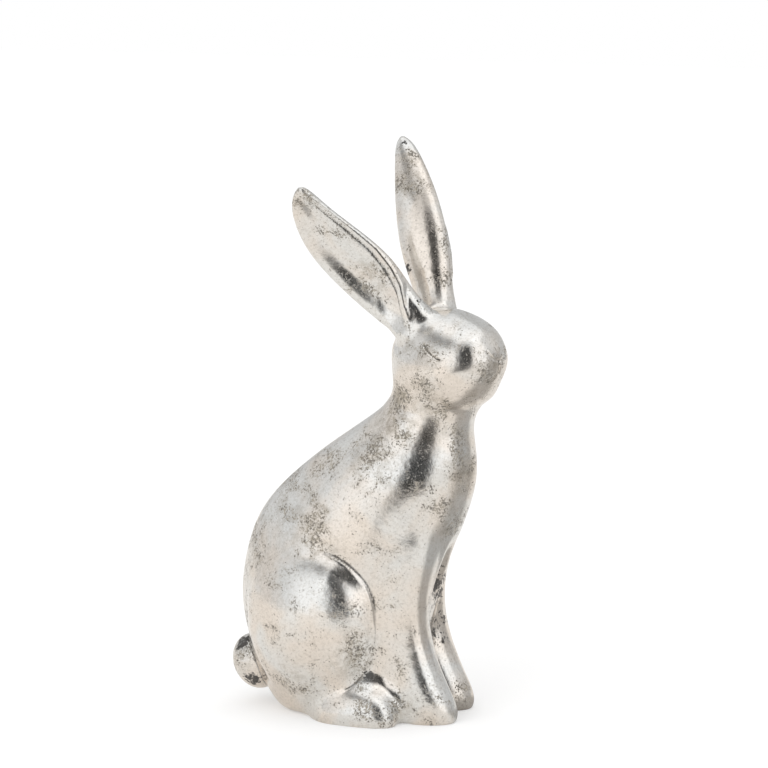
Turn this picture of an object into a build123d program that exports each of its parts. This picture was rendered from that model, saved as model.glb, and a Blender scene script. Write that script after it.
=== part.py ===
"""Seated ceramic rabbit, about 30 cm tall.

The figure is slip-cast earthenware.  The torso and the head are hollow casts that are cut flat at the
neck and luted together.  The ears, haunches, hind feet, forelegs and tail are cast solid in small
moulds, trimmed to the curve that they sit on, and stuck down with a thin layer of slip.
X points forwards, Y to the rabbit's left and Z up.  The origin is on the ground, in the middle of the
standing face.
"""
from build123d import *
import os
from math import cos, copysign, pi, sin

# Clay: cast wall of the hollow pieces, layer of slip in a joint, and how far a cut runs past a face
WALL = 6.0
LUTE = 0.25
OVERRUN = 4.0

# Torso: stacked ovals from the ground to the flat neck joint
TORSO_HEIGHT = 168.0
RUMP_REACH = 72.0
CHEST_REACH = 58.0
TORSO_HALF_WIDTH = 37.0
# For each oval, its place up the height, and how far it goes back, forwards and sideways
torso_shares = [
    (0.000, 0.670, 0.380, 0.780),
    (0.045, 0.770, 0.465, 0.900),
    (0.180, 0.905, 0.535, 0.975),
    (0.330, 0.990, 0.603, 1.000),
    (0.505, 0.955, 0.750, 0.987),
    (0.655, 0.815, 0.914, 0.932),
    (0.775, 0.560, 1.000, 0.850),
    (0.875, 0.272, 0.990, 0.730),
    (0.960, -0.005, 0.985, 0.615),
    (1.000, -0.115, 1.040, 0.580),
]
DRAIN_RADIUS = 11.0
DRAIN_SETBACK = 26.0

# Head: stacked ovals from the neck joint to the crown, turned to the rabbit's right
HEAD_HEIGHT = 53.0
HEAD_HALF_LENGTH = 32.5
HEAD_HALF_WIDTH = 26.5
HEAD_FORWARD = 10.5
HEAD_TURN_ANGLE = 20.0
# For each oval, its place up the head, how far it stands forwards, its half length and half width,
# and how much of the turn it has
head_shares = [
    (0.10, 0.46, 0.84, 0.89, 0.4),
    (0.22, 0.78, 0.89, 0.95, 0.8),
    (0.34, 0.95, 0.95, 0.99, 1.0),
    (0.47, 1.05, 1.00, 1.00, 1.0),
    (0.58, 1.05, 1.00, 0.97, 1.0),
    (0.68, 1.05, 0.95, 0.90, 1.0),
    (0.78, 1.05, 0.85, 0.79, 1.0),
    (0.88, 1.00, 0.66, 0.62, 1.0),
    (0.96, 0.95, 0.38, 0.36, 1.0),
    (1.00, 0.90, 0.08, 0.08, 1.0),
]

# Ear: a leaf that leans back and outwards, with a dish in the side that it shows
EAR_ROOT_DEPTH = 10.0
EAR_HALF_THICKNESS = 6.0
EAR_BOW = 4.0
EAR_LEFT_LENGTH = 103.0
EAR_LEFT_HALF_WIDTH = 13.0
EAR_LEFT_LEAN_ANGLE = 22.3
EAR_LEFT_SPREAD_ANGLE = 11.0
EAR_LEFT_FACING_ANGLE = 116.0
EAR_LEFT_SWEEP = 1.3
EAR_RIGHT_LENGTH = 97.0
EAR_RIGHT_HALF_WIDTH = 17.0
EAR_RIGHT_LEAN_ANGLE = 21.5
EAR_RIGHT_SPREAD_ANGLE = 34.0
EAR_RIGHT_FACING_ANGLE = 66.0
EAR_RIGHT_SWEEP = 7.0
EAR_TENON_RADIUS = 3.5
# Foot of the ear's axis in the head: parts of the head's half length, half width and height
ear_foot_shares = (-0.46, 0.46, 0.84)
EAR_DISH_DEPTH = 6.0
EAR_OUTLINE_POINTS = 28
# Middle and half width of the dish across the ear
dish_offset_share = 0.16
dish_width_share = 0.74
# For each section, its place up the ear, its half width, its half thickness, how far it is bowed
# backwards and swept to one edge, and the depth of its dish
ear_shares = [
    (0.00, 0.66, 1.30, 0.00, 0.00, 0.00),
    (0.20, 0.80, 1.20, 0.30, 0.10, 0.35),
    (0.38, 0.97, 1.00, 0.80, 0.45, 0.95),
    (0.51, 1.00, 0.95, 1.00, 0.70, 1.00),
    (0.64, 0.92, 0.88, 1.00, 0.95, 0.95),
    (0.76, 0.77, 0.78, 0.80, 1.00, 0.80),
    (0.88, 0.56, 0.66, 0.40, 0.75, 0.50),
    (0.96, 0.34, 0.50, 0.05, 0.35, 0.15),
    (1.00, 0.08, 0.16, -0.10, 0.00, 0.00),
]

# Haunch: a flattened egg on the flank
HAUNCH_HALF_LENGTH = 40.0
HAUNCH_HALF_HEIGHT = 50.0
HAUNCH_HALF_THICKNESS = 26.0
HAUNCH_BULGE = 7.0
HAUNCH_SETBACK = 23.0
HAUNCH_RISE = 53.0

# Hind foot: a blunt form that lies on the ground below the haunch
FOOT_LENGTH = 47.0
FOOT_HEIGHT = 22.0
FOOT_HALF_WIDTH = 11.0
FOOT_TOE_FORWARD = 25.0
FOOT_OUTSET = 31.0
FOOT_SOLE_RISE = 2.5
# For each section, its place from heel to toe, its half width and its height
foot_shares = [
    (0.00, 0.10, 0.10),
    (0.06, 0.50, 0.50),
    (0.25, 0.85, 0.86),
    (0.55, 1.00, 1.00),
    (0.80, 0.96, 0.86),
    (0.94, 0.66, 0.54),
    (1.00, 0.12, 0.12),
]

# Foreleg: a squarish column from the chest to the ground, with the foot flared forwards
LEG_HEIGHT = 114.0
LEG_TOE_REACH = 53.0
LEG_HALF_WIDTH = 12.5
LEG_GAP = 7.0
LEG_SQUARENESS = 2.2
LEG_OUTLINE_POINTS = 16
# For each section, its place up the leg, its back and front edge, and its half width
leg_shares = [
    (0.00, 0.24, 0.975, 0.92),
    (0.04, 0.22, 1.000, 1.00),
    (0.13, 0.19, 0.940, 1.04),
    (0.28, 0.13, 0.800, 1.02),
    (0.47, 0.05, 0.705, 1.02),
    (0.66, -0.01, 0.725, 1.06),
    (0.84, -0.05, 0.800, 1.06),
    (1.00, -0.01, 0.740, 0.80),
]

# Tail: an oval bob, pegged into the rump
TAIL_HALF_LENGTH = 15.5
TAIL_HALF_DEPTH = 12.5
TAIL_HALF_WIDTH = 14.0
TAIL_SETBACK = 65.0
TAIL_RISE = 22.0
TAIL_TILT_ANGLE = 25.0
TAIL_TENON_RADIUS = 4.0


def torso_slices(grow):
    """Ovals of torso and neck from the ground up, each widened by grow."""
    slices = []
    for rise_share, back_share, front_share, width_share in torso_shares:
        back = -back_share * RUMP_REACH - grow
        front = front_share * CHEST_REACH + grow
        oval = Ellipse((front - back) / 2, width_share * TORSO_HALF_WIDTH + grow)
        slices.append(Pos((back + front) / 2, 0, rise_share * TORSO_HEIGHT) * oval)
    return slices


# The neck joint is the torso's top oval
_, neck_back_share, neck_front_share, neck_width_share = torso_shares[-1]
neck_back = -neck_back_share * RUMP_REACH
neck_front = neck_front_share * CHEST_REACH
neck_place = Pos((neck_back + neck_front) / 2, 0, TORSO_HEIGHT)
neck_half_length = (neck_front - neck_back) / 2
neck_half_width = neck_width_share * TORSO_HALF_WIDTH


def neck_oval(grow, rise):
    """Oval of the neck joint, widened by grow, at a rise above the joint."""
    return neck_place * Pos(0, 0, rise) * Ellipse(neck_half_length + grow, neck_half_width + grow)


def head_slices(grow):
    """Ovals of the head from the neck joint up, each widened by grow, with the crown raised alike."""
    slices = [neck_oval(grow, 0)]
    for rise_share, forward_share, length_share, width_share, turn_share in head_shares:
        turn = Rot(0, 0, -turn_share * HEAD_TURN_ANGLE)
        forward = Pos(forward_share * HEAD_FORWARD, 0, rise_share * (HEAD_HEIGHT + grow))
        half_length = length_share * (HEAD_HALF_LENGTH + grow)
        half_width = width_share * (HEAD_HALF_WIDTH + grow)
        slices.append(neck_place * turn * forward * Ellipse(half_length, half_width))
    return slices


LEFT = 1
RIGHT = -1
ear_poses = {
    LEFT: (EAR_LEFT_LEAN_ANGLE, EAR_LEFT_SPREAD_ANGLE, EAR_LEFT_FACING_ANGLE),
    RIGHT: (EAR_RIGHT_LEAN_ANGLE, EAR_RIGHT_SPREAD_ANGLE, EAR_RIGHT_FACING_ANGLE),
}
ear_lengths = {LEFT: EAR_LEFT_LENGTH, RIGHT: EAR_RIGHT_LENGTH}
ear_half_widths = {LEFT: EAR_LEFT_HALF_WIDTH, RIGHT: EAR_RIGHT_HALF_WIDTH}
ear_sweeps = {LEFT: EAR_LEFT_SWEEP, RIGHT: EAR_RIGHT_SWEEP}
head_place = neck_place * Rot(0, 0, -HEAD_TURN_ANGLE) * Pos(HEAD_FORWARD, 0, 0)


def ear_place(side):
    """Foot of an ear on the skull: Z runs up the ear and X comes out of its dish."""
    lean, spread, facing = ear_poses[side]
    back_share, side_share, rise_share = ear_foot_shares
    foot = Pos(
        back_share * HEAD_HALF_LENGTH,
        side * side_share * HEAD_HALF_WIDTH,
        rise_share * HEAD_HEIGHT,
    )
    return head_place * foot * Rot(-side * spread, 0, 0) * Rot(0, -lean, 0) * Rot(0, 0, side * facing)


def ear_bore(side, radius):
    """Round way through the skull at the foot of an ear, as deep as the ear's root."""
    return ear_place(side) * Cylinder(radius, 2 * EAR_ROOT_DEPTH)


def ear_outline(half_thickness, half_width, dish_depth, side):
    """Oval across an ear, hollowed on its front by a dish that lies nearer to the outer edge."""
    points = []
    for step in range(EAR_OUTLINE_POINTS):
        angle = 2 * pi * step / EAR_OUTLINE_POINTS
        across_share = cos(angle)
        reach_share = (across_share - side * dish_offset_share) / dish_width_share
        hollow_share = max(0, 1 - reach_share**2) ** 2 if sin(angle) > 0 else 0
        depth = half_thickness * sin(angle) - hollow_share * dish_depth
        points.append((depth, across_share * half_width))
    return make_face(Spline(*points, periodic=True))


def ear(side):
    """Ear trimmed to the skull, apart from the tenon that is left on its root."""
    sections = []
    for rise_share, width_share, thickness_share, bow_share, sweep_share, dish_share in ear_shares:
        height = rise_share * (ear_lengths[side] + EAR_ROOT_DEPTH) - EAR_ROOT_DEPTH
        outline = ear_outline(
            thickness_share * EAR_HALF_THICKNESS,
            width_share * ear_half_widths[side],
            dish_share * EAR_DISH_DEPTH,
            side,
        )
        sections.append(Pos(-bow_share * EAR_BOW, -sweep_share * ear_sweeps[side], height) * outline)
    leaf = ear_place(side) * loft(sections)
    return leaf - (loft(head_slices(LUTE)) - ear_bore(side, EAR_TENON_RADIUS))


def tail_place():
    """Middle of the tail: X points out of the rump and Z up along it."""
    return Pos(-TAIL_SETBACK, 0, TAIL_RISE) * Rot(0, 0, 180) * Rot(0, TAIL_TILT_ANGLE, 0)


def tail_bore(radius):
    """Round way through the rump at the tail, as deep as the tail."""
    return tail_place() * Rot(0, 90, 0) * Cylinder(radius, 2 * TAIL_HALF_DEPTH)


def tail():
    """Tail trimmed to the rump, apart from the tenon that is left on its inner side."""
    bob = scale(Sphere(1), by=(TAIL_HALF_DEPTH, TAIL_HALF_WIDTH, TAIL_HALF_LENGTH))
    return tail_place() * bob - (loft(torso_slices(LUTE)) - tail_bore(TAIL_TENON_RADIUS))


def haunch_form(grow):
    """Whole egg of the right haunch."""
    egg = scale(
        Sphere(1),
        by=(HAUNCH_HALF_LENGTH + grow, HAUNCH_HALF_THICKNESS + grow, HAUNCH_HALF_HEIGHT + grow),
    )
    outset = TORSO_HALF_WIDTH + HAUNCH_BULGE - HAUNCH_HALF_THICKNESS
    return Pos(-HAUNCH_SETBACK, -outset, HAUNCH_RISE) * egg


def foot_form(grow):
    """Whole right hind foot, before it is cut flat at the ground."""
    sections = []
    for place_share, width_share, height_share in foot_shares:
        forward = FOOT_TOE_FORWARD + grow - (1 - place_share) * (FOOT_LENGTH + 2 * grow)
        middle = (forward, -FOOT_OUTSET, FOOT_SOLE_RISE)
        plane = Plane(origin=middle, x_dir=(0, 1, 0), z_dir=(1, 0, 0))
        half_width = width_share * (FOOT_HALF_WIDTH + grow)
        half_height = height_share * (FOOT_HEIGHT - FOOT_SOLE_RISE + grow)
        sections.append(plane * Ellipse(half_width, half_height))
    return loft(sections)


def leg_outline(back, front, half_width):
    """Squarish oval from back to front, as a closed curve through points on a superellipse."""
    points = []
    for step in range(LEG_OUTLINE_POINTS):
        angle = 2 * pi * step / LEG_OUTLINE_POINTS
        along = copysign(abs(cos(angle)) ** (2 / LEG_SQUARENESS), cos(angle))
        across = copysign(abs(sin(angle)) ** (2 / LEG_SQUARENESS), sin(angle))
        points.append(((front + back) / 2 + along * (front - back) / 2, across * half_width))
    return make_face(Spline(*points, periodic=True))


def leg_form():
    """Whole right foreleg, before it is trimmed to the chest."""
    sections = []
    for rise_share, back_share, front_share, width_share in leg_shares:
        outline = leg_outline(
            back_share * LEG_TOE_REACH, front_share * LEG_TOE_REACH, width_share * LEG_HALF_WIDTH
        )
        outset = LEG_GAP / 2 + LEG_HALF_WIDTH
        sections.append(Pos(0, -outset, rise_share * LEG_HEIGHT) * outline)
    return loft(sections)


def above_ground(form):
    return split(form, Plane.XY, keep=Keep.TOP)


drain = Pos(-DRAIN_SETBACK, 0, 0) * Cylinder(DRAIN_RADIUS, 2 * (WALL + OVERRUN))
torso_hollow = Pos(0, 0, -WALL / 2) * loft(torso_slices(-WALL) + [neck_oval(-WALL, WALL)])
torso_hollow = split(torso_hollow, Plane.XY.offset(WALL), keep=Keep.TOP)
torso_shell = loft(torso_slices(0)) - torso_hollow - drain
torso_shell -= tail_bore(TAIL_TENON_RADIUS + LUTE)

head_hollow = loft([neck_oval(-WALL, -OVERRUN)] + head_slices(-WALL))
head_shell = loft(head_slices(0)) - head_hollow
for side in ear_poses:
    head_shell -= ear_bore(side, EAR_TENON_RADIUS + LUTE)

trim_torso = loft(torso_slices(LUTE))
haunch = above_ground(haunch_form(0)) - trim_torso
hind_foot = above_ground(foot_form(0)) - trim_torso - haunch_form(LUTE)
foreleg = leg_form() - trim_torso - haunch_form(LUTE) - foot_form(LUTE)

pieces = {
    "torso_shell": torso_shell,
    "head_shell": head_shell,
    "ear_left": ear(LEFT),
    "ear_right": ear(RIGHT),
    "haunch_right": haunch,
    "haunch_left": mirror(haunch, about=Plane.XZ),
    "hind_foot_right": hind_foot,
    "hind_foot_left": mirror(hind_foot, about=Plane.XZ),
    "foreleg_right": foreleg,
    "foreleg_left": mirror(foreleg, about=Plane.XZ),
    "tail": tail(),
}

os.makedirs("parts", exist_ok=True)
for name, piece in pieces.items():
    export_step(piece, f"parts/{name}.step")
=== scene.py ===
"""Looks of a seated ceramic rabbit in worn silver leaf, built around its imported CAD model.

The figure is first made as one clay skin, luted and sponged as the real one is, so that its joints melt into
each other.  Each piece is then parted from that skin along its own joint.
"""

import bpy
import numpy as np
from mathutils import Matrix, Vector
from mathutils.bvhtree import BVHTree
from mathutils.kdtree import KDTree


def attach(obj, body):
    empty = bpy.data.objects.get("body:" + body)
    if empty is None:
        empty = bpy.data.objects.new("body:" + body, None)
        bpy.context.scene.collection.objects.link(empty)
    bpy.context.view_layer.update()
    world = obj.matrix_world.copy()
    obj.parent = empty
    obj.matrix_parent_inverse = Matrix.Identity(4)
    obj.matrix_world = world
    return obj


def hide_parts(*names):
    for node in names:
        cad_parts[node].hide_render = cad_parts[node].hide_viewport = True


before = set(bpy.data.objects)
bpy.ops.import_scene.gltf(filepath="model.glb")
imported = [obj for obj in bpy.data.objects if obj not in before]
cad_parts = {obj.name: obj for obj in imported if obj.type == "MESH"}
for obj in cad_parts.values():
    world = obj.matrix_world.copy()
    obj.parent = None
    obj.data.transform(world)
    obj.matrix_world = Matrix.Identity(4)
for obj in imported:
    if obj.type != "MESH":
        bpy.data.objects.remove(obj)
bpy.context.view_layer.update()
scene = bpy.context.scene
scene.view_settings.view_transform = "Standard"

# Torso and neck: a hollow slip-cast shell of earthenware with a drain hole in its floor.  It is the core that
# every other piece is luted to.  Its drain hole is stopped until the pieces are parted.
MM = 0.001
DRAIN_RADIUS = 11 * MM
DRAIN_SETBACK = 26 * MM
STOPPER_HEIGHT = 9 * MM
SIDES = {"right": -1, "left": 1}


def only(*objects):
    """Select these objects alone, with the first one active."""
    bpy.ops.object.select_all(action="DESELECT")
    for each in objects:
        each.select_set(True)
    bpy.context.view_layer.objects.active = objects[0]


def settle(clay):
    """Put an object's place and size into its mesh."""
    only(clay)
    bpy.ops.object.transform_apply(location=True, rotation=True, scale=True)
    return clay


def cast(node):
    """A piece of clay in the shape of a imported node: a merged copy of its mesh."""
    clay = bpy.data.objects.new(node + "_clay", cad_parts[node].data.copy())
    clay.data.materials.clear()
    scene.collection.objects.link(clay)
    only(clay)
    bpy.ops.object.mode_set(mode="EDIT")
    bpy.ops.mesh.select_all(action="SELECT")
    bpy.ops.mesh.remove_doubles(threshold=0.001 * MM)
    bpy.ops.object.mode_set(mode="OBJECT")
    return clay


def joined(*pieces):
    """One object from several."""
    only(*pieces)
    bpy.ops.object.join()
    return pieces[0]


bpy.ops.mesh.primitive_cylinder_add(
    radius=DRAIN_RADIUS + MM, depth=STOPPER_HEIGHT, location=(-DRAIN_SETBACK, 0, STOPPER_HEIGHT / 2)
)
clay = {"torso": joined(settle(bpy.context.object), cast("torso_shell"))}

# Forelegs: two solid casts of earthenware that stand under the chest, with a slot between them.
# They are luted to the torso with slip and melt into its flanks.
clay["forelegs"] = joined(cast("foreleg_left"), cast("foreleg_right"))

# Head: a hollow cast of earthenware, cut flat below and turned to the rabbit's right.
# It is luted onto the neck, and its jaw keeps a soft crease there.
HEAD_TURN = np.radians(-20)
HEAD_PLACE = Matrix.Translation((34.3 * MM, 0, 168 * MM)) @ Matrix.Rotation(HEAD_TURN, 4, "Z")
HEAD_PLACE = HEAD_PLACE @ Matrix.Translation((10.5 * MM, 0, 0))
clay["head"] = cast("head_shell")

# Ears: two solid leaves of clay, pegged into the skull and luted round their roots.
# They are dished later, when the clay is firmer.
clay["ears"] = joined(cast("ear_left"), cast("ear_right"))

# Haunches: two solid eggs of clay set on the flanks.
# They are luted there, melt into the rump behind, and are cut to a clean edge in front.
HAUNCH_SIZE = Vector((40 * MM, 26 * MM, 50 * MM))
HAUNCH_PLACE = Vector((-23 * MM, 18 * MM, 53 * MM))


def egg(size, place, sign):
    """A smooth egg of clay with these half sizes, on one side of the figure."""
    bpy.ops.mesh.primitive_uv_sphere_add(
        segments=128, ring_count=64, radius=1, location=(place.x, sign * place.y, place.z), scale=size
    )
    return settle(bpy.context.object)


clay["haunches"] = joined(*[egg(HAUNCH_SIZE, HAUNCH_PLACE, sign) for sign in SIDES.values()])

# Hind feet: two small solid casts luted under the haunches.  A pad of clay behind each one fills out its
# heel, so that the foot runs back into the rump in one line.
HEEL_SIZE = Vector((22 * MM, 12 * MM, 24 * MM))
HEEL_PLACE = Vector((-2 * MM, 28 * MM, 0))
heels = [egg(HEEL_SIZE, HEEL_PLACE, sign) for sign in SIDES.values()]
clay["hind_feet"] = joined(cast("hind_foot_left"), cast("hind_foot_right"), *heels)

# Tail: a solid oval bob of clay, pegged and luted to the rump.
# Its joint is left sharp.
clay["tail"] = cast("tail")

# Luting: the pieces are joined with slip and worked with a damp sponge into one skin.  The legs, haunches and
# heels melt into the body, and the jaw, the ears' roots and the tail keep a crease.
CLAY_GRAIN = 0.9 * MM
CORE_GRAIN = 1.5 * MM
BED_DEPTH = 2.5 * MM
SPONGE_REACH = 18 * MM


def finish_with(clay, kind, **settings):
    """Add a modifier with these settings and apply it."""
    only(clay)
    modifier = clay.modifiers.new(kind.lower(), kind)
    for name, value in settings.items():
        setattr(modifier, name, value)
    bpy.ops.object.modifier_apply(modifier=modifier.name)


def copy_of(clay, name):
    twin = bpy.data.objects.new(name, clay.data.copy())
    scene.collection.objects.link(twin)
    return twin


def flat_list(clay, what):
    """Places or normals of an object's points, one row each."""
    flat = np.empty(len(clay.data.vertices) * 3)
    clay.data.vertices.foreach_get(what, flat)
    return flat.reshape(-1, 3)


def places(clay):
    return flat_list(clay, "co")


def normals(clay):
    return flat_list(clay, "normal")


def tree_of(clay):
    return BVHTree.FromObject(clay, bpy.context.evaluated_depsgraph_get())


def gaps_to(skin, tree):
    """How far each point of the skin is from a form, up to the reach of a sponge."""
    found = [tree.find_nearest(point.co, SPONGE_REACH)[3] for point in skin.data.vertices]
    return np.array([SPONGE_REACH if gap is None else gap for gap in found])


def fade(values, near, far):
    """1 where values are below near, 0 where they are past far, and a smooth step between."""
    share = np.clip((far - values) / (far - near), 0, 1)
    return share * share * (3 - 2 * share)


def sponge(skin, wetness, passes):
    """Smooth the skin as a damp sponge does, more where its points are wetter."""
    damp = skin.vertex_groups.new(name="damp")
    for index in np.flatnonzero(wetness > 0.01):
        damp.add([int(index)], float(wetness[index]), "REPLACE")
    finish_with(skin, "SMOOTH", factor=0.5, iterations=passes, vertex_group="damp")
    skin.vertex_groups.clear()


def press(skin, strength, depth):
    """Press the skin in along its normals; a negative depth puffs it out."""
    moved = places(skin) - normals(skin) * (strength * depth)[:, None]
    skin.data.vertices.foreach_set("co", moved.ravel())
    skin.data.update()


core = joined(copy_of(clay["torso"], "core"), copy_of(clay["head"], "head"))
finish_with(core, "REMESH", mode="VOXEL", voxel_size=CORE_GRAIN)
press(core, np.ones(len(core.data.vertices)), BED_DEPTH)
trees = {name: tree_of(each) for name, each in clay.items()}
skin = joined(*clay.values())
skin.name = "clay_skin"
finish_with(skin, "REMESH", mode="VOXEL", voxel_size=CLAY_GRAIN)
gap = {name: gaps_to(skin, tree) for name, tree in trees.items()}
sponge(skin, np.ones(len(skin.data.vertices)), 5)

x, y, z = places(skin).T
outer_side = fade(-np.abs(y), -20 * MM, -12 * MM)
joint = np.maximum(gap["torso"], gap["forelegs"])
sponge(skin, fade(joint, 4 * MM, 18 * MM) * (0.15 + 0.85 * outer_side), 400)
joint = np.maximum(gap["torso"], gap["head"])
sponge(skin, fade(joint, 2 * MM, 12 * MM), 20)
joint = np.maximum(gap["head"], gap["ears"])
sponge(skin, fade(joint, 2 * MM, 9 * MM), 50)
joint = np.maximum(gap["torso"], gap["haunches"])
rear = fade(x, -34 * MM, -12 * MM)
sponge(skin, fade(joint, 3 * MM, 16 * MM) * np.maximum(rear, 0.4), 160)
joint = np.maximum(np.minimum(gap["torso"], gap["haunches"]), gap["hind_feet"])
heel = fade(x, -8 * MM, 6 * MM) * fade(z, 24 * MM, 36 * MM)
sponge(skin, np.maximum(fade(joint, 3 * MM, 12 * MM), fade(joint, 10 * MM, 17 * MM) * 0.6) * heel, 220)

# Standing face: the luted figure is rubbed flat on a wet board.
# Feet and rump then stand in one plane.
GROUND_CUT = 0.4 * MM
flat = places(skin)
flat[:, 2] = np.maximum(flat[:, 2] - GROUND_CUT, 0)
skin.data.vertices.foreach_set("co", flat.ravel())
skin.data.update()

# Slot and tail crease: the slot between the forelegs is run up into the chest with a loop tool.
# A sharp line is cut round the tail.
SLOT_DEPTH, TAIL_CUT = 6 * MM, 0.5 * MM
x, y, z = places(skin).T
slot = fade(-normals(skin)[:, 0], -0.5, -0.1) * fade(np.abs(y), 1 * MM, 9 * MM)
slot *= fade(z, 80 * MM, 100 * MM) * fade(-z, -74 * MM, -60 * MM)
press(skin, slot, SLOT_DEPTH)
press(skin, fade(np.maximum(gap["torso"], gap["tail"]), 0.3 * MM, 2.2 * MM), TAIL_CUT)

# Haunch edges: the front of each haunch is cut back to a clean crease with a knife, from under the back, over
# the knee and down to the hind foot.  The outline's points are forwards and up, in millimetres.
haunch_outline = [
    (-19, 93), (-13, 91.6), (-6, 88.8), (2, 82.7), (8.4, 74.6), (11.2, 66.3), (12.4, 56.4), (12.8, 47.6),
    (11.6, 39.8), (9.5, 32.7), (6, 26.8), (1, 21.5), (-10, 14), (-25, 9), (-40, 12), (-52, 24), (-58, 42),
    (-57, 60), (-50, 78), (-38, 90), (-28, 93.5),
]
KNIFE_DEPTH = 0.9 * MM
DOME_HEIGHT, DOME_REACH, BACK_REACH = 2.4 * MM, 16 * MM, 34 * MM


def polar(points):
    """Angle and distance of points in side view, from the middle of the haunch."""
    reach = points - np.array((HAUNCH_PLACE.x, HAUNCH_PLACE.z))
    return np.arctan2(reach[:, 1], reach[:, 0]), np.hypot(reach[:, 0], reach[:, 1])


edge_angles, edge_radii = polar(np.array(haunch_outline) * MM)
angles, radii = polar(places(skin)[:, [0, 2]])
beyond = radii - np.interp(angles, edge_angles, edge_radii, period=2 * np.pi)
sides = fade(-np.abs(normals(skin)[:, 1]), -0.5, -0.2) * fade(-np.abs(y), -20 * MM, -14 * MM)
along = fade(-angles, 0.95, 1.25) * fade(angles, 1.15, 1.6)
knee = 0.35 + 0.65 * fade(-angles, -0.5, 0.1)
groove = fade(-beyond, -0.2 * MM, 1.2 * MM) * fade(beyond, 0.5 * MM, 8 * MM)
press(skin, sides * along * knee * groove, KNIFE_DEPTH)
inside = np.maximum(-beyond, 0)
front_rise = 1 - (1 - np.minimum(inside / DOME_REACH, 1)) ** 2
back_rise = 1 - fade(inside, 0, BACK_REACH)
press(skin, sides * (along * front_rise + (1 - along) * back_rise), -DOME_HEIGHT)

# Ear dishes: each ear is hollowed with a loop tool behind a rolled rim along its front edge.
# The roots are sponged once more after that.
DISH_DEPTH, RIM_HEIGHT = 2.2 * MM, 1.2 * MM
EAR_FOOT = Vector((-15 * MM, 12.2 * MM, 44.5 * MM))
ear_poses = {"right": (34, 21.5, 66), "left": (11, 22.3, 116)}
# For each height up an ear, where the rim's inner edge lies across it
rim_shares = [(1, 0), (12, 2.6), (22, 7.4), (33, 9.3), (46, 9.2), (61, 6.2), (78, 2.6), (92, 0.5)]


def ear_place(side):
    """Frame of an ear: Z runs up it, X comes out of its dish and Y runs to one edge."""
    spread, lean, facing = np.radians(ear_poses[side])
    sign = SIDES[side]
    foot = Matrix.Translation((EAR_FOOT.x, sign * EAR_FOOT.y, EAR_FOOT.z))
    turn = Matrix.Rotation(-sign * spread, 4, "X") @ Matrix.Rotation(-lean, 4, "Y")
    return HEAD_PLACE @ foot @ turn @ Matrix.Rotation(sign * facing, 4, "Z")


for side, sign in SIDES.items():
    into_ear = np.array(ear_place(side).inverted())
    out, across, up_ear = (places(skin) @ into_ear[:3, :3].T + into_ear[:3, 3]).T
    facing_dish = fade(-(normals(skin) @ into_ear[0, :3]), -0.45, -0.05)
    heights, rims = np.array(rim_shares).T * MM
    below_rim = np.interp(up_ear, heights, rims) + sign * across
    near = fade(np.abs(across), 17 * MM, 20 * MM) * fade(np.abs(out), 12 * MM, 14 * MM)
    dish = facing_dish * near * fade(-up_ear, -9 * MM, -2 * MM) * fade(up_ear, 80 * MM, 94 * MM)
    under_rim = fade(-below_rim, -1.2 * MM, 0.4 * MM) * fade(below_rim, 4 * MM, 16 * MM)
    press(skin, dish * under_rim, DISH_DEPTH)
    press(skin, dish * fade(np.abs(below_rim + 2.4 * MM), 0.5 * MM, 3.2 * MM), -RIM_HEIGHT)
sponge(skin, fade(np.maximum(gap["head"], gap["ears"]), 2 * MM, 8 * MM), 12)

# Face: the closed eyes, nose and mouth are drawn into the damp clay with a fine loop tool.  The points are
# forwards, outwards and up from the middle of the neck joint, in millimetres, for one side of the face.
eye_line = [(1.4, 23.8, 35.8), (4.1, 24.7, 33.5), (8.2, 24.9, 30.8), (11.6, 24.5, 29.6)]
nose_line = [(30.8, 7.8, 33.2), (32.2, 4.6, 29.6), (33.0, 0.0, 27.8)]
lip_line = [(33.0, 0.0, 27.8), (32.4, 0.0, 22.4), (31.4, 2.6, 19.6), (29.6, 6.6, 18.0), (27.9, 10.4, 18.4)]
EYE_DEPTH, NOSE_DEPTH, LIP_DEPTH = 0.9 * MM, 0.4 * MM, 0.35 * MM
LINE_REACH, LINE_STEPS = 6 * MM, 12


def drawn(line, sign):
    """Tree of points close together along a smooth line on one side of the face, laid onto the skin."""
    corners = np.array([line[0], *line, line[-1]]) * (1, sign, 1)
    tree = tree_of(skin)
    dense = KDTree(LINE_STEPS * (len(line) - 1))
    for start, (a, b, c, d) in enumerate(zip(corners, corners[1:], corners[2:], corners[3:])):
        for step, t in enumerate(np.linspace(0, 1, LINE_STEPS)):
            point = b + (c - a) * t / 2 + (2 * a - 5 * b + 4 * c - d) * t**2 / 2
            point = point + (3 * (b - c) + d - a) * t**3 / 2
            on_skin = tree.find_nearest(HEAD_PLACE @ Vector(point * MM))[0]
            dense.insert(on_skin, LINE_STEPS * start + step)
    dense.balance()
    return dense


def way_to(skin, dense):
    """How far each point of the skin is from a drawn line, for the points of the head."""
    ways = np.full(len(skin.data.vertices), 1.0)
    for index in np.flatnonzero(places(skin)[:, 2] > HEAD_PLACE.translation.z):
        ways[index] = dense.find(skin.data.vertices[index].co)[2]
    return ways


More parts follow.
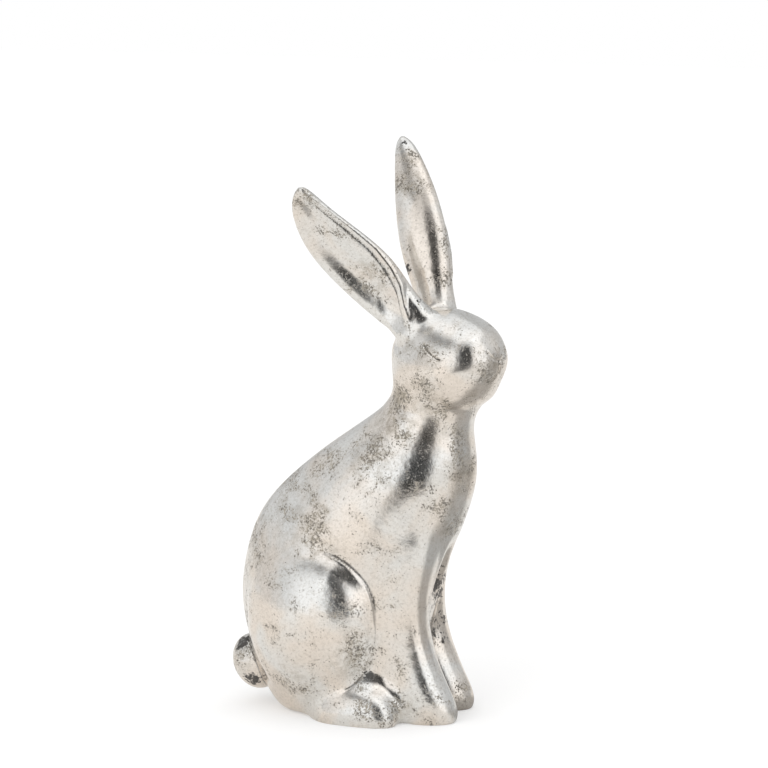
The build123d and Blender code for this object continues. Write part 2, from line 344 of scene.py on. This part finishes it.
line_depths = [
    (drawn(line, sign), depth)
    for line, depth in ((eye_line, EYE_DEPTH), (nose_line, NOSE_DEPTH), (lip_line, LIP_DEPTH))
    for sign in SIDES.values()
]
close = np.min([way_to(skin, dense) for dense, depth in line_depths], axis=0) < LINE_REACH
scene.tool_settings.mesh_select_mode = (True, False, False)
for kind in (skin.data.polygons, skin.data.edges, skin.data.vertices):
    kind.foreach_set("select", np.zeros(len(kind), bool))
skin.data.vertices.foreach_set("select", close)
only(skin)
bpy.ops.object.mode_set(mode="EDIT")
bpy.ops.mesh.subdivide(number_cuts=1, smoothness=0)
bpy.ops.object.mode_set(mode="OBJECT")
for dense, depth in line_depths:
    press(skin, fade(way_to(skin, dense), 0.2 * MM, 1.2 * MM), depth)
only(skin)
bpy.ops.object.shade_smooth()

# Worn leaf and painted shade: where hands and cloths rubbed the leaf, where it never reached, and painted
# shade in creases and gaps.  Each point of the skin notes how deep it lies in a crease, how dark its part is
# with tarnish and painted shade, and how worn.  A place is a middle and a radius, both in millimetres, and an
# amount.
worn_places = [
    (20, -21, 163, 20, 0.9), (22, -19, 172, 14, 1.0), (45, -22, 171, 12, 0.9), (62, -17, 175, 10, 0.8),
    (39, -29, 184, 12, 0.5), (26, -22, 200, 12, 0.6), (12, -28, 140, 20, 0.6), (-42, -12, 125, 24, 0.7),
    (-30, -32, 108, 20, 0.6), (-18, -35, 96, 15, 1.0), (-17, -32, 115, 6, 1.0), (-58, -14, 90, 24, 0.5),
    (3, -39, 39, 15, 1.0), (56, -10, 136, 16, 0.8), (50, -14, 108, 12, 0.6), (24, -30, 10, 9, 0.9),
    (-30, -38, 20, 16, 0.6), (6, -19, 239, 13, 0.9), (-24, -45, 281, 10, 0.8), (10, 28, 284, 16, 0.8),
    (30, 14, 168, 26, 0.9), (-20, 36, 100, 26, 0.8), (4, 42, 40, 16, 0.8), (-50, 12, 118, 30, 0.6),
    (-68, 0, 26, 18, 1.0), (44, 22, 196, 14, 0.6), (20, 30, 140, 18, 0.6),
    (72, -18, 192, 11, 0.9), (40, -29, 200, 9, 0.7),
]
# Dark tarnish on the tail, far ear and nose, and painted shade in the gap between the forelegs, at the ear
# roots and in the crevice over the right hind foot
sooty_and_shaded_places = [
    (-70, -8, 34, 8, 0.7), (-64, -12, 14, 8, 0.7), (-70, -10, 24, 6, 0.5), (-72, 8, 26, 8, 0.6),
    (36, 3, 68, 18, 0.6), (36, 8, 45, 18, 0.5), (16, 14, 238, 5, 0.7), (31, -14, 226, 5, 0.5),
    (6, 39, 303, 4, 0.6), (8, -31, 26, 5, 0.8), (74, -14, 195, 6, 0.45),
]
# Places on the face where the creases get no dark wax, painted shade or extra specks
wiped_unshaded_places = [(28, -10, 216, 16, 0.7), (28, 12, 216, 16, 0.5)]


def relief(skin, passes):
    """How far each point lies below the skin's own surface once that is smoothed."""
    smoothed = copy_of(skin, "smoothed")
    finish_with(smoothed, "SMOOTH", factor=0.5, iterations=passes)
    depth = ((places(smoothed) - places(skin)) * normals(skin)).sum(axis=1)
    bpy.data.objects.remove(smoothed)
    return depth


def zones(skin, blobs):
    """How far each point is inside soft blobs, each with a centre, radius and amount."""
    share = np.zeros(len(skin.data.vertices))
    for x, y, z, radius, amount in blobs:
        away = np.linalg.norm(places(skin) - np.array((x, y, z)) * MM, axis=1)
        share = np.maximum(share, amount * fade(away, 0.2 * radius * MM, 1.3 * radius * MM))
    return share


# How deep each point lies in a crease: it thickens the specks there, and later darkens it with wax and
# painted shade
crease = 1 - fade(relief(skin, 40), 0.05 * MM, 0.55 * MM)
crease *= 1 - zones(skin, wiped_unshaded_places)
soot_and_shade_share, worn_share = zones(skin, sooty_and_shaded_places), zones(skin, worn_places)
marked = np.column_stack([crease, soot_and_shade_share, worn_share, np.ones(len(crease))])
skin.data.color_attributes.new("wear_and_shade", "FLOAT_COLOR", "POINT")

# Silver leaf: thin beaten sheets of silver laid on a grey-brown bole, burnished, rubbed through in specks and
# finished with wax.  To the eye it is a soft metal mirror, warm and cool in patches, with matt clay in the
# specks and painted shade darkening its creases and gaps.
LEAF_WARM, LEAF_COOL, LEAF_FILM = "#e4dcd3", "#e2e2e0", "#a59d90"
# The crease colour: dark wax, and painted shade in creases and gaps
BOLE_PALE, BOLE_DARK, CREASE_WAX_AND_SHADE = "#958d7f", "#5c564e", "#1d1a18"
PATCH_SIZE, CLUSTER_SIZE, SMEAR_SIZE, SPECK_SIZE = 40 * MM, 15 * MM, 6 * MM, 1.1 * MM
DENT_SIZE, WRINKLE_SIZE, RELIEF = 9 * MM, 2.4 * MM, 0.2 * MM
GRIP = 0.648
MATH, STEP, MIX = "ShaderNodeMath", "ShaderNodeMapRange", "ShaderNodeMix"
SMOOTH, COLOUR = {"interpolation_type": "SMOOTHSTEP"}, {"give": 2, "data_type": "RGBA"}


def srgb(code):
    """Linear colour of an sRGB hex value."""
    parts = [int(code[i:i + 2], 16) / 255 for i in (1, 3, 5)]
    return [*[c / 12.92 if c <= 0.04045 else ((c + 0.055) / 1.055) ** 2.4 for c in parts], 1]


def add_node(kind, inputs=(), give=0, **settings):
    """Add a node to the tree in hand with its settings and inputs, linked or set, and give one output."""
    made = tree.nodes.new(kind)
    for name, value in settings.items():
        setattr(made, name, value)
    for name, value in inputs.items() if isinstance(inputs, dict) else enumerate(inputs):
        if isinstance(value, bpy.types.NodeSocket):
            tree.links.new(value, made.inputs[name])
        else:
            made.inputs[name].default_value = value
    return made.outputs[give]


leaf = bpy.data.materials.new("worn_silver_leaf_and_painted_shade")
leaf.use_nodes = True
tree = leaf.node_tree
shader = tree.nodes["Principled BSDF"]
where = add_node("ShaderNodeTexCoord", give="Object")
marks = add_node("ShaderNodeAttribute", give="Color", attribute_name="wear_and_shade")
in_crease, sooty_and_shaded, rubbed = add_node("ShaderNodeSeparateColor", [marks]).node.outputs
# For each cloudy pattern, the size of its features, its detail, roughness and distortion
cloud = {
    "patches": (PATCH_SIZE, 3, 0.55, 0.5), "clusters": (CLUSTER_SIZE, 5, 0.66, 0.2),
    "smears": (SMEAR_SIZE, 6, 0.72, 0.3), "flakes": (SPECK_SIZE, 4, 0.7, 0.2),
    "grime": (1.5 * SPECK_SIZE, 4, 0.7, 0.0), "bole": (2 * SPECK_SIZE, 2, 0.5, 0.0),
    "gloss": (2 * DENT_SIZE, 3, 0.6, 0.0), "dents": (DENT_SIZE, 2, 0.5, 0.0),
    "wrinkles": (WRINKLE_SIZE, 3, 0.6, 0.0),
}
for name, (size, detail, roughness, distortion) in cloud.items():
    cloud[name] = add_node("ShaderNodeTexNoise", {
        "Vector": where, "Scale": 1 / size, "Detail": detail, "Roughness": roughness,
        "Distortion": distortion,
    })
# Rubbing and creases thicken the clusters of specks, and the leaf is off where they pass its grip
loose = add_node(MATH, [rubbed, 0.13, cloud["clusters"]], operation="MULTIPLY_ADD")
loose = add_node(MATH, [in_crease, 0.12, loose], operation="MULTIPLY_ADD")
density = add_node(STEP, [loose, 0.48, 0.7], **SMOOTH)
pull = add_node(MATH, [density, 0.16, cloud["flakes"]], operation="MULTIPLY_ADD")
bare = add_node(STEP, [pull, GRIP - 0.02, GRIP + 0.03], **SMOOTH)
# Wax films the leaf round the specks, and in ragged smears where it is rubbed
rim = add_node(STEP, [pull, GRIP - 0.08, GRIP + 0.02, 0.0, 0.3], **SMOOTH)
film = add_node(MATH, [density, 0.12, rim], operation="MULTIPLY_ADD")
smear = add_node(STEP, [cloud["smears"], 0.44, 0.62, 0.0, 0.6], **SMOOTH)
film = add_node(MATH, [rubbed, smear, film], operation="MULTIPLY_ADD")
# Dark wax and painted shade darken the creases, with ragged spots of dark tarnish and of painted shade in
# gaps
ragged = add_node(MATH, [cloud["smears"], 1.6, cloud["flakes"]], operation="MULTIPLY_ADD")
ragged = add_node(MATH, [ragged, sooty_and_shaded], operation="ADD")
soot_and_shade = add_node(STEP, [ragged, 1.8, 1.9], **SMOOTH)
crease_wax_and_shade = add_node(STEP, [in_crease, 0.3, 1.0], **SMOOTH)
waxed_and_shaded = add_node(MATH, [crease_wax_and_shade, soot_and_shade], operation="MAXIMUM")
patches = add_node(STEP, [cloud["patches"], 0.38, 0.62], **SMOOTH)
grime = add_node(STEP, [cloud["grime"], 0.45, 0.7, 0.0, 0.3], **SMOOTH)
clay_mix = add_node(STEP, [cloud["bole"], 0.4, 0.62], **SMOOTH)
bole = add_node(MIX, {0: clay_mix, 6: srgb(BOLE_PALE), 7: srgb(BOLE_DARK)}, **COLOUR)
bare_share = add_node(MATH, [bare, 0.85], operation="MULTIPLY")
wax_and_shade_share = add_node(MATH, [waxed_and_shaded, 0.92], operation="MULTIPLY")
tone = srgb(LEAF_WARM)
for share, colour in (
    (patches, srgb(LEAF_COOL)), (film, srgb(LEAF_FILM)), (grime, srgb(LEAF_FILM)), (bare_share, bole),
    (wax_and_shade_share, srgb(CREASE_WAX_AND_SHADE)),
):
    tone = add_node(MIX, {0: share, 6: tone, 7: colour}, **COLOUR)
tree.links.new(tone, shader.inputs["Base Color"])
leafed = add_node(MATH, [1.0, bare], operation="SUBTRACT")
unwaxed_unshaded = add_node(MATH, [1.0, waxed_and_shaded], operation="SUBTRACT")
covered = add_node(MATH, [leafed, unwaxed_unshaded], operation="MULTIPLY")
tree.links.new(add_node(STEP, [covered, 0.0, 1.0, 0.1, 0.97], **SMOOTH), shader.inputs["Metallic"])
gloss = add_node(STEP, [cloud["gloss"], 0.35, 0.65, 0.11, 0.21], **SMOOTH)
uncovered = add_node(MATH, [1.0, covered], operation="SUBTRACT")
rough = add_node(MATH, [uncovered, 0.55], operation="MULTIPLY")
rough = add_node(MATH, [covered, gloss, rough], operation="MULTIPLY_ADD")
rough = add_node(MATH, [film, 0.15, rough], operation="MULTIPLY_ADD")
tree.links.new(rough, shader.inputs["Roughness"])
height = add_node(MATH, [cloud["dents"], 1.5], operation="MULTIPLY")
height = add_node(MATH, [cloud["wrinkles"], 0.5, height], operation="MULTIPLY_ADD")
height = add_node(MATH, [bare, -0.2, height], operation="MULTIPLY_ADD")
bump = add_node("ShaderNodeBump", {"Height": height, "Strength": 0.6, "Distance": RELIEF})
tree.links.new(bump, shader.inputs["Normal"])

# Parting: each piece of the figure is cut from the skin along its own luted joint.  The cut follows the
# piece's own form a little way out and the form of what carries it a little way in.
PART_MARGIN = 1.6 * MM
BLOCK_DEPTH, BLOCK_MIDDLE, BLOCK_MARGIN = 46 * MM, 37 * MM, 0.4 * MM
HEAD_ROOM = 400 * MM
DRAIN_DEPTH = 40 * MM
HOLLOW_SIZE, HOLLOW_PLACE = Vector((42, 24, 52)) * MM, Vector((-14, 0, 62)) * MM


def hull(node, swell, *pads):
    """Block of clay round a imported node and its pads, a little larger than they are."""
    block = joined(cast(node), *pads)
    bpy.ops.object.mode_set(mode="EDIT")
    bpy.ops.mesh.select_all(action="SELECT")
    bpy.ops.mesh.convex_hull()
    bpy.ops.mesh.select_all(action="SELECT")
    bpy.ops.transform.shrink_fatten(value=swell)
    bpy.ops.object.mode_set(mode="OBJECT")
    return block


def haunch_block(sign):
    """Block with the outline of a haunch, on one side of the figure."""
    bpy.ops.mesh.primitive_cylinder_add(
        vertices=128, radius=1, depth=BLOCK_DEPTH, rotation=(np.pi / 2, 0, 0),
        location=(HAUNCH_PLACE.x, sign * BLOCK_MIDDLE, HAUNCH_PLACE.z),
    )
    block = settle(bpy.context.object)
    moved = places(block)
    angles, radii = polar(moved[:, [0, 2]])
    radii = np.interp(angles, edge_angles, edge_radii, period=2 * np.pi) + BLOCK_MARGIN
    moved[:, 0] = HAUNCH_PLACE.x + radii * np.cos(angles)
    moved[:, 2] = HAUNCH_PLACE.z + radii * np.sin(angles)
    block.data.vertices.foreach_set("co", moved.ravel())
    block.data.update()
    return block


def cut(clay, operation, tool):
    finish_with(clay, "BOOLEAN", operation=operation, object=tool, solver="MANIFOLD")


def dress(piece, node):
    """Give a parted piece the skin's own normals, its worn and painted-shade marks, its finish, its node and
    its place.
    """
    piece.name = node + "_leaf"
    piece.data.name = piece.name
    only(piece)
    bpy.ops.object.shade_smooth()
    found = [skin_points.find(point.co) for point in piece.data.vertices]
    nearest = np.array([index for place, index, away in found])
    on_skin = np.array([away < CLAY_GRAIN for place, index, away in found])
    smooth = np.where(on_skin[:, None], skin_normals[nearest], normals(piece))
    piece.data.normals_split_custom_set_from_vertices(smooth)
    piece.data.color_attributes["wear_and_shade"].data.foreach_set("color", marked[nearest].ravel())
    piece.data.materials.clear()
    piece.data.materials.append(leaf)
    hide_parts(node)
    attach(piece, "root")


skin_normals = normals(skin)
skin_points = KDTree(len(skin_normals))
for index, point in enumerate(skin.data.vertices):
    skin_points.insert(point.co, index)
skin_points.balance()
neck_top = HEAD_PLACE.translation
bpy.ops.mesh.primitive_cube_add(size=HEAD_ROOM, location=neck_top + Vector((0, 0, HEAD_ROOM / 2)))
above_neck = settle(bpy.context.object)
body, head = copy_of(skin, "body"), copy_of(skin, "head")
cut(body, "DIFFERENCE", above_neck)
cut(head, "INTERSECT", above_neck)
parting = [(head, "ear_" + side, hull("ear_" + side, PART_MARGIN)) for side in SIDES]
for side, sign in SIDES.items():
    parting.append((body, "haunch_" + side, haunch_block(sign)))
for side, sign in SIDES.items():
    heel = egg(HEEL_SIZE, HEEL_PLACE, sign)
    parting.append((body, "hind_foot_" + side, hull("hind_foot_" + side, PART_MARGIN, heel)))
for node in ("foreleg_right", "foreleg_left", "tail"):
    parting.append((body, node, hull(node, PART_MARGIN)))
for rest, node, tool in parting:
    cut(tool, "DIFFERENCE", core)
    piece = copy_of(rest, node)
    cut(piece, "INTERSECT", tool)
    cut(rest, "DIFFERENCE", tool)
    bpy.data.objects.remove(tool)
    dress(piece, node)
bpy.ops.mesh.primitive_cylinder_add(
    vertices=64, radius=DRAIN_RADIUS, depth=DRAIN_DEPTH, location=(-DRAIN_SETBACK, 0, 0)
)
drain = settle(bpy.context.object)
hollow = egg(HOLLOW_SIZE, HOLLOW_PLACE, 1)
for tool in (drain, hollow):
    cut(body, "DIFFERENCE", tool)
dress(body, "torso_shell")
dress(head, "head_shell")
for tool in (above_neck, drain, hollow, core, skin):
    bpy.data.objects.remove(tool)

# Studio: a pale floor and a white room, with a large soft lamp in front on the left and a fill on the right.
# The dark place behind the camera gives the leaf its narrow dark streaks.
CAMERA_AZIMUTH, CAMERA_ELEVATION = np.radians(17.5), np.radians(10.5)
CAMERA_DISTANCE, CAMERA_LENS = 2.0, 175.7
AIM_RIGHT, AIM_UP = 7.05 * MM, 27.05 * MM
back = Vector((
    np.sin(CAMERA_AZIMUTH) * np.cos(CAMERA_ELEVATION),
    -np.cos(CAMERA_AZIMUTH) * np.cos(CAMERA_ELEVATION),
    np.sin(CAMERA_ELEVATION),
))
right = Vector((np.cos(CAMERA_AZIMUTH), np.sin(CAMERA_AZIMUTH), 0))
up = back.cross(right)
target = Vector((0, 0, 150 * MM))
bpy.ops.object.camera_add(location=target + back * CAMERA_DISTANCE)
camera = bpy.context.object
aim = target + right * AIM_RIGHT + up * AIM_UP
camera.rotation_mode = "QUATERNION"
camera.rotation_quaternion = (aim - camera.location).to_track_quat("-Z", "Y")
camera.data.lens = CAMERA_LENS
camera.data.sensor_width = 36
camera.data.clip_end = 20
scene.camera = camera

bpy.ops.mesh.primitive_plane_add(size=8, location=(0, 0, 0))
floor = bpy.context.object
floor.name = "floor"


def band(value, middle, inner, outer):
    """1 within the inner distance of a middle value, falling to 0 at the outer one."""
    off = add_node(MATH, [value, middle], operation="SUBTRACT")
    off = add_node(MATH, [off], operation="ABSOLUTE")
    return add_node(STEP, [off, inner, outer, 1.0, 0.0], **SMOOTH)


def heading_of(x, y):
    """Compass heading in degrees: 0 looks out from the figure's right flank and 90 past its nose."""
    away = add_node(MATH, [y, -1.0], operation="MULTIPLY")
    return add_node(MATH, [add_node(MATH, [x, away], operation="ARCTAN2")], operation="DEGREES")


# The floor's paper is white to the eye.  In the leaf it is a little cream, and dark behind the camera
CREAM = "#f2efeb"
CAMERA_HEADING, SIDE_HEADING = (22.0, 10.0, 20.0), (104.0, 18.0, 38.0)
paper = bpy.data.materials.new("white_paper")
paper.use_nodes = True
tree = paper.node_tree
shader = tree.nodes["Principled BSDF"]
spot = add_node("ShaderNodeTexCoord", give="Object")
away = add_node("ShaderNodeVectorMath", [spot], give="Value", operation="LENGTH")
x, y, _ = add_node("ShaderNodeSeparateXYZ", [spot]).node.outputs
heading = heading_of(x, y)
far_off = add_node(STEP, [away, 0.45, 0.8, 0.0, 0.95], **SMOOTH)
dark = add_node(MATH, [band(heading, *CAMERA_HEADING), far_off], operation="MULTIPLY")
dark = add_node(MATH, [band(heading, *SIDE_HEADING), 0.5, dark], operation="MULTIPLY_ADD")
mirrored = add_node(MIX, {0: dark, 6: srgb(CREAM), 7: (0, 0, 0, 1)}, **COLOUR)
glossy = add_node("ShaderNodeLightPath", give="Is Glossy Ray")
mirrored = add_node(MIX, {0: glossy, 6: (1, 1, 1, 1), 7: mirrored}, **COLOUR)
matt = add_node(MIX, {0: 1.0, 6: mirrored, 7: (0.8, 0.8, 0.8, 1)}, blend_type="MULTIPLY", **COLOUR)
tree.links.new(matt, shader.inputs["Base Color"])
tree.links.new(mirrored, shader.inputs["Emission Color"])
shader.inputs["Emission Strength"].default_value = 0.24
shader.inputs["Roughness"].default_value = 1.0
shader.inputs["Specular IOR Level"].default_value = 0.0
floor.data.materials.append(paper)

# The room is white to the eye, and where the leaf mirrors it, it has lighter and darker parts
world = bpy.data.worlds.new("white_room")
scene.world = world
world.use_nodes = True
tree = world.node_tree
background = tree.nodes["Background"]
look = add_node("ShaderNodeTexCoord", give="Generated")
x, y, rise = add_node("ShaderNodeSeparateXYZ", [look]).node.outputs
heading = heading_of(x, y)
below_top = add_node(STEP, [rise, 0.75, 0.95, 1.0, 0.0], **SMOOTH)
low_down = add_node(STEP, [rise, 0.05, 0.4, 1.0, 0.0], **SMOOTH)
overhead = add_node(STEP, [rise, 0.74, 0.86], **SMOOTH)
turned = add_node(MATH, [heading], operation="ABSOLUTE")
rear = add_node(STEP, [turned, 105.0, 160.0], **SMOOTH)
behind_camera = add_node(STEP, [rise, 0.58, 0.78, 1.0, 0.0], **SMOOTH)
room = 0.82
# Soft lamp, fill, overhead, side, ceiling and rear: two shares of a part, and how much lighter it is
for share, other, light in (
    (band(heading, -6.0, 6.0, 58.0), band(rise, 0.2, 0.2, 0.5), 0.4),
    (band(heading, 60.0, 12.0, 26.0), below_top, 0.45),
    (overhead, 1.0, 0.4),
    (band(heading, *SIDE_HEADING), low_down, -0.32),
    (band(heading, -42.0, 22.0, 45.0), band(rise, 0.74, 0.06, 0.18), -0.45),
    (rear, 1.0, -0.2),
):
    part = add_node(MATH, [share, other], operation="MULTIPLY")
    room = add_node(MATH, [part, light, room], operation="MULTIPLY_ADD")
gap_share = add_node(MATH, [band(heading, *CAMERA_HEADING), behind_camera], operation="MULTIPLY")
lit = add_node(MATH, [gap_share, -0.97, 1.0], operation="MULTIPLY_ADD")
room = add_node(MATH, [room, lit], operation="MULTIPLY")
mirrored = add_node("ShaderNodeCombineColor", [room, room, room])
glossy = add_node("ShaderNodeLightPath", give="Is Glossy Ray")
seen = add_node(MIX, {0: glossy, 6: (1, 1, 1, 1), 7: mirrored}, **COLOUR)
tree.links.new(seen, background.inputs["Color"])
background.inputs["Strength"].default_value = 1.0

bpy.ops.object.light_add(type="AREA", location=(-0.6, -1.4, 0.9))
lamp = bpy.context.object
lamp.data.energy = 6
lamp.data.size = 1.0
lamp.visible_glossy = False
lamp.rotation_mode = "QUATERNION"
lamp.rotation_quaternion = (target - lamp.location).to_track_quat("-Z", "Y")
